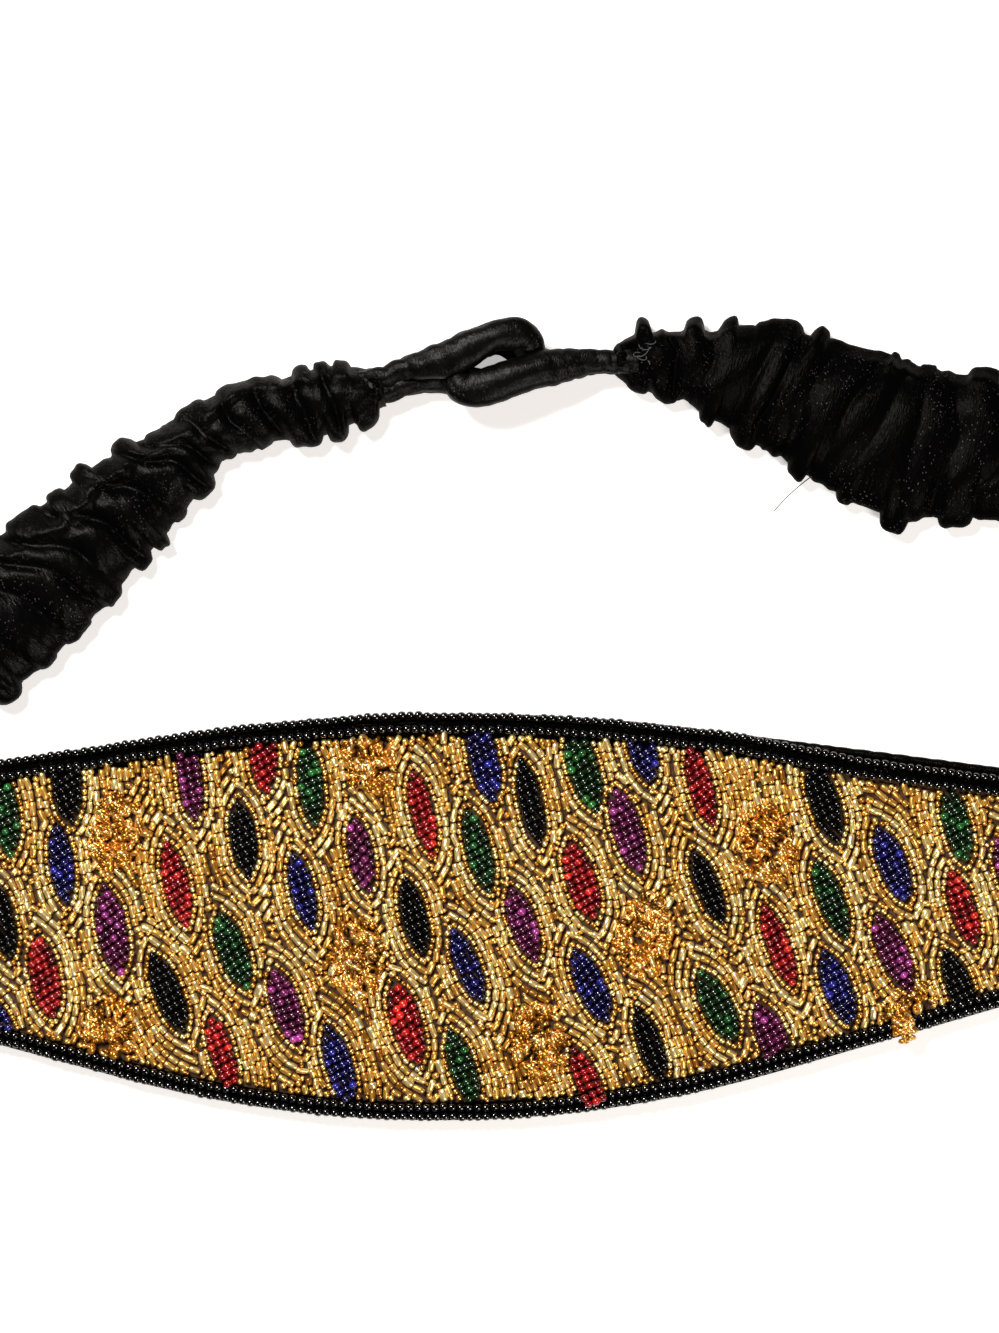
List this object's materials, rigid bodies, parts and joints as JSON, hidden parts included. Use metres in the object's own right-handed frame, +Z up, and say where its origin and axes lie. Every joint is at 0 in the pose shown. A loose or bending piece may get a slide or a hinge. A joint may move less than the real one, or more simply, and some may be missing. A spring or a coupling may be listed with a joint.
{
  "type": "headband",
  "caption": "Fabric headband with a lens-shaped beaded front panel, ruched satin elastic straps and two linked rouleau loops at the back",
  "frame": {"origin": "middle of the front panel's back face, which lies on the table", "axes": "+X along the front panel to its right end as seen from the front, +Y from the panel towards the back link, +Z up through the beadwork"},
  "size_m": [0.2612, 0.1145, 0.0081],
  "materials": {
    "satin_black": "black polyester satin, soft grey-blue sheen on its folds",
    "lining_satin": "flat black satin",
    "felt_black": "stiff needled felt",
    "base_cloth": "woven gold-brown base cloth",
    "gold_beads": "silver-lined gold glass bugles and seed beads",
    "pale_gold_beads": "pale gold seed beads",
    "copper_beads": "amber and copper coil beads",
    "black_beads": "opaque black glass seed beads, wet gloss",
    "red_beads": "deep red silver-lined glass beads",
    "green_beads": "dark green silver-lined glass beads",
    "blue_beads": "royal blue silver-lined glass beads",
    "purple_beads": "magenta-purple silver-lined glass beads",
    "elastic_webbing": "white woven elastic",
    "thread": "black polyester thread",
    "filler_cord": "soft cotton filler cord"
  },
  "bodies": {
    "front": {"lining": "lining_satin", "interlining": "felt_black", "ground_fabric": "base_cloth", "gold_bead_ground": "gold_beads", "gold_outline_beads": "pale_gold_beads", "amber_coil_beads": "copper_beads", "black_motif_beads": "black_beads", "red_motif_beads": "red_beads", "green_motif_beads": "green_beads", "blue_motif_beads": "blue_beads", "purple_motif_beads": "purple_beads", "upper_edge_binding": "satin_black", "lower_edge_binding": "satin_black", "upper_edge_piping": "satin_black", "upper_outer_bead_row": "black_beads", "upper_inner_bead_row": "black_beads", "lower_outer_bead_row": "black_beads", "lower_inner_bead_row": "black_beads", "left_end_binding": "satin_black", "left_seam_stitches": "thread", "right_end_binding": "satin_black", "right_seam_stitches": "thread"},
    "left_strap": {"left_ruched_sleeve": "satin_black", "left_elastic": "elastic_webbing"},
    "right_strap": {"right_ruched_sleeve": "satin_black", "right_elastic": "elastic_webbing"},
    "left_loop": {"left_loop_cover": "satin_black", "left_loop_cord": "filler_cord", "left_loop_tack": "thread"},
    "right_loop": {"right_loop_cover": "satin_black", "right_loop_cord": "filler_cord", "right_loop_tack": "thread"}
  },
  "joints": [
    {"name": "left_strap_fold", "type": "hinge", "parent": "front", "child": "left_strap", "pos_m": [-0.0888, 0.0043, 0.003], "axis": [1, 0, 0], "range_deg": [0, 150]},
    {"name": "right_strap_fold", "type": "hinge", "parent": "front", "child": "right_strap", "pos_m": [0.0888, 0.0043, 0.003], "axis": [1, 0, 0], "range_deg": [0, 150]},
    {"name": "left_elastic_stretch", "type": "slide", "parent": "left_strap", "child": "left_loop", "axis": [0, 1, 0], "range_m": [0, 0.03], "stiffness_N_per_m": 60, "deforming": ["left_ruched_sleeve", "left_elastic"]},
    {"name": "right_elastic_stretch", "type": "slide", "parent": "right_strap", "child": "right_loop", "axis": [0, 1, 0], "range_m": [0, 0.03], "stiffness_N_per_m": 60, "deforming": ["right_ruched_sleeve", "right_elastic"]}
  ],
  "couplings": [
    {"joint": "right_strap_fold", "follows": "left_strap_fold", "ratio": 1},
    {"joint": "right_elastic_stretch", "follows": "left_elastic_stretch", "ratio": 1}
  ]
}
